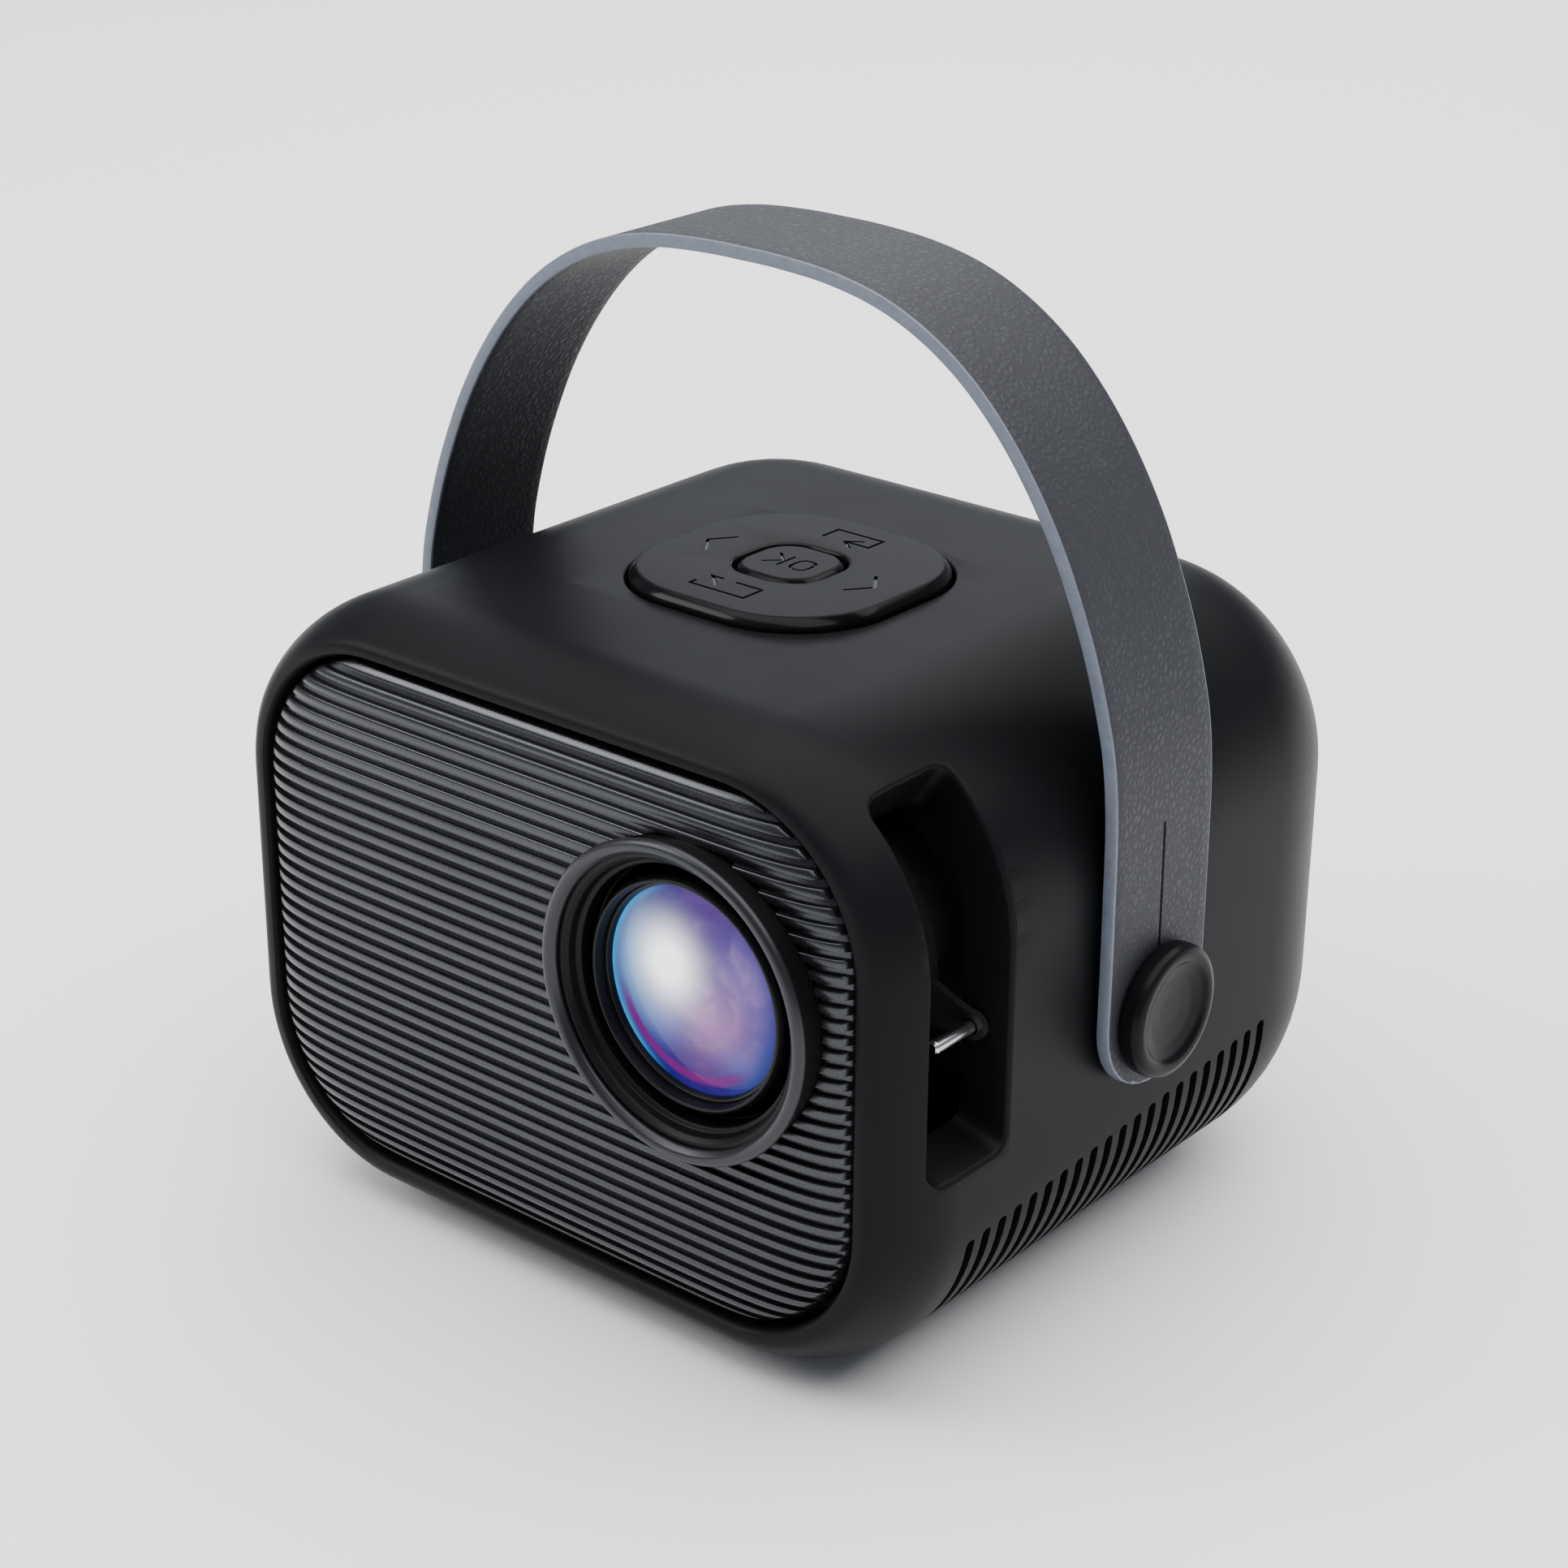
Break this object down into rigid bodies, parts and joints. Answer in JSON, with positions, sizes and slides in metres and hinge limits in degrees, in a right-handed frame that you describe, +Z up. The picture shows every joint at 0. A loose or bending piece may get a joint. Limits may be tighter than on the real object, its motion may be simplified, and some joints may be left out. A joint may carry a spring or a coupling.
{
  "type": "home projector",
  "caption": "Compact home projector: soft-edged black case, domed ribbed grille with offset lens, focus lever in a side slot, rocker keypad, rear ports, swinging leather carrying strap.",
  "frame": {"origin": "centre of the object's box, on the plane the feet stand on, strap upright", "axes": "+Z up; the grille and lens face -Y; the focus slot is on the +X side"},
  "size_m": [0.166, 0.1542, 0.1743],
  "materials": {
    "housing_plastic": "fine matt texture",
    "grille_paint": "satin gunmetal paint on moulded plastic",
    "ring_metal": "dark satin anodised",
    "black_plastic": "matt",
    "coated_glass": "polished, anti-reflection coated",
    "clear_glass": "polished",
    "lcd_glass": "polished",
    "steel": "bright plated",
    "reflector_metal": "polished",
    "board_white": "white solder mask",
    "heatsink_metal": "extruded",
    "circuit_board": "solder mask",
    "key_plastic": "satin",
    "ir_plastic": "polished, smoked",
    "speaker_metal": "black",
    "speaker_paper": "matt",
    "panel_plastic": "fine matt texture",
    "screw_steel": "black zinc plated",
    "foot_rubber": "matt",
    "insert_brass": "machined",
    "strap_leather": "pebbled grain, painted edges",
    "stud_plastic": "satin",
    "gimbal_rubber": "silicone"
  },
  "bodies": {
    "chassis": {"housing_shell": "housing_plastic", "front_grille": "grille_paint", "lens_ring": "ring_metal", "lens_shroud": "black_plastic", "lens_mount": "black_plastic", "optical_box": "black_plastic", "fresnel_front": "clear_glass", "lcd_panel": "lcd_glass", "heat_glass": "clear_glass", "fresnel_rear": "clear_glass", "light_reflector": "reflector_metal", "led_board": "board_white", "heatsink": "heatsink_metal", "fan_frame": "black_plastic", "main_board": "circuit_board", "hdmi_socket": "steel", "usb_socket": "steel", "av_jack": "black_plastic", "dc_jack": "black_plastic", "ir_window": "ir_plastic", "speaker_frame": "speaker_metal", "speaker_cone": "speaker_paper", "rear_panel": "panel_plastic", "rear_screw_left": "screw_steel", "rear_screw_right": "screw_steel", "bottom_cover": "panel_plastic", "case_screw_1": "screw_steel", "case_screw_2": "screw_steel", "case_screw_3": "screw_steel", "case_screw_4": "screw_steel", "rubber_foot_1": "foot_rubber", "rubber_foot_2": "foot_rubber", "rubber_foot_3": "foot_rubber", "rubber_foot_4": "foot_rubber", "tripod_insert": "insert_brass", "strap_stud_right": "stud_plastic", "strap_stud_left": "stud_plastic", "strap_washer_right": "black_plastic", "strap_washer_left": "black_plastic", "strap_nut_right": "screw_steel", "strap_nut_left": "screw_steel", "keypad_board": "circuit_board"},
    "strap": {"carry_strap": "strap_leather"},
    "gimbal": {"keypad_gimbal": "gimbal_rubber"},
    "rocker": {"keypad_ring": "key_plastic"},
    "ok_key": {"ok_button": "key_plastic"},
    "focus": {"focus_ring": "black_plastic", "focus_grip": "steel"},
    "barrel": {"lens_barrel": "black_plastic", "lens_retainer": "black_plastic", "front_lens_element": "coated_glass", "rear_lens_element": "clear_glass"},
    "fan": {"fan_rotor": "black_plastic"},
    "power_key": {"power_button": "key_plastic"}
  },
  "joints": [
    {"name": "strap_swing", "type": "hinge", "parent": "chassis", "child": "strap", "pos_m": [0, -0.00562, 0.0577], "axis": [1, 0, 0], "range_deg": [-36, 36]},
    {"name": "keypad_tilt_x", "type": "hinge", "parent": "chassis", "child": "gimbal", "pos_m": [0, -0.00612, 0.109], "axis": [1, 0, 0], "range_deg": [-2.2, 2.2], "stiffness_Nm_per_rad": 1.5},
    {"name": "keypad_tilt_y", "type": "hinge", "parent": "gimbal", "child": "rocker", "pos_m": [0, -0.00612, 0.109], "axis": [0, 1, 0], "range_deg": [-2.2, 2.2], "stiffness_Nm_per_rad": 1.5},
    {"name": "ok_press", "type": "slide", "parent": "chassis", "child": "ok_key", "axis": [0, 0, -1], "range_m": [0, 0.0008], "stiffness_N_per_m": 1500},
    {"name": "focus_turn", "type": "hinge", "parent": "chassis", "child": "focus", "pos_m": [0.0344, -0.04612, 0.0707], "axis": [0, -1, 0], "range_deg": [-15, 50]},
    {"name": "barrel_travel", "type": "slide", "parent": "chassis", "child": "barrel", "axis": [0, -1, 0], "range_m": [-0.001, 0.003]},
    {"name": "fan_spin", "type": "hinge", "parent": "chassis", "child": "fan", "pos_m": [0.022, 0.05688, 0.0585], "axis": [0, 1, 0], "continuous": true},
    {"name": "power_press", "type": "slide", "parent": "chassis", "child": "power_key", "axis": [0, -1, 0], "range_m": [0, 0.0008], "stiffness_N_per_m": 1500}
  ],
  "couplings": [
    {"joint": "barrel_travel", "follows": "focus_turn", "m_per_rad": 0.0033}
  ]
}
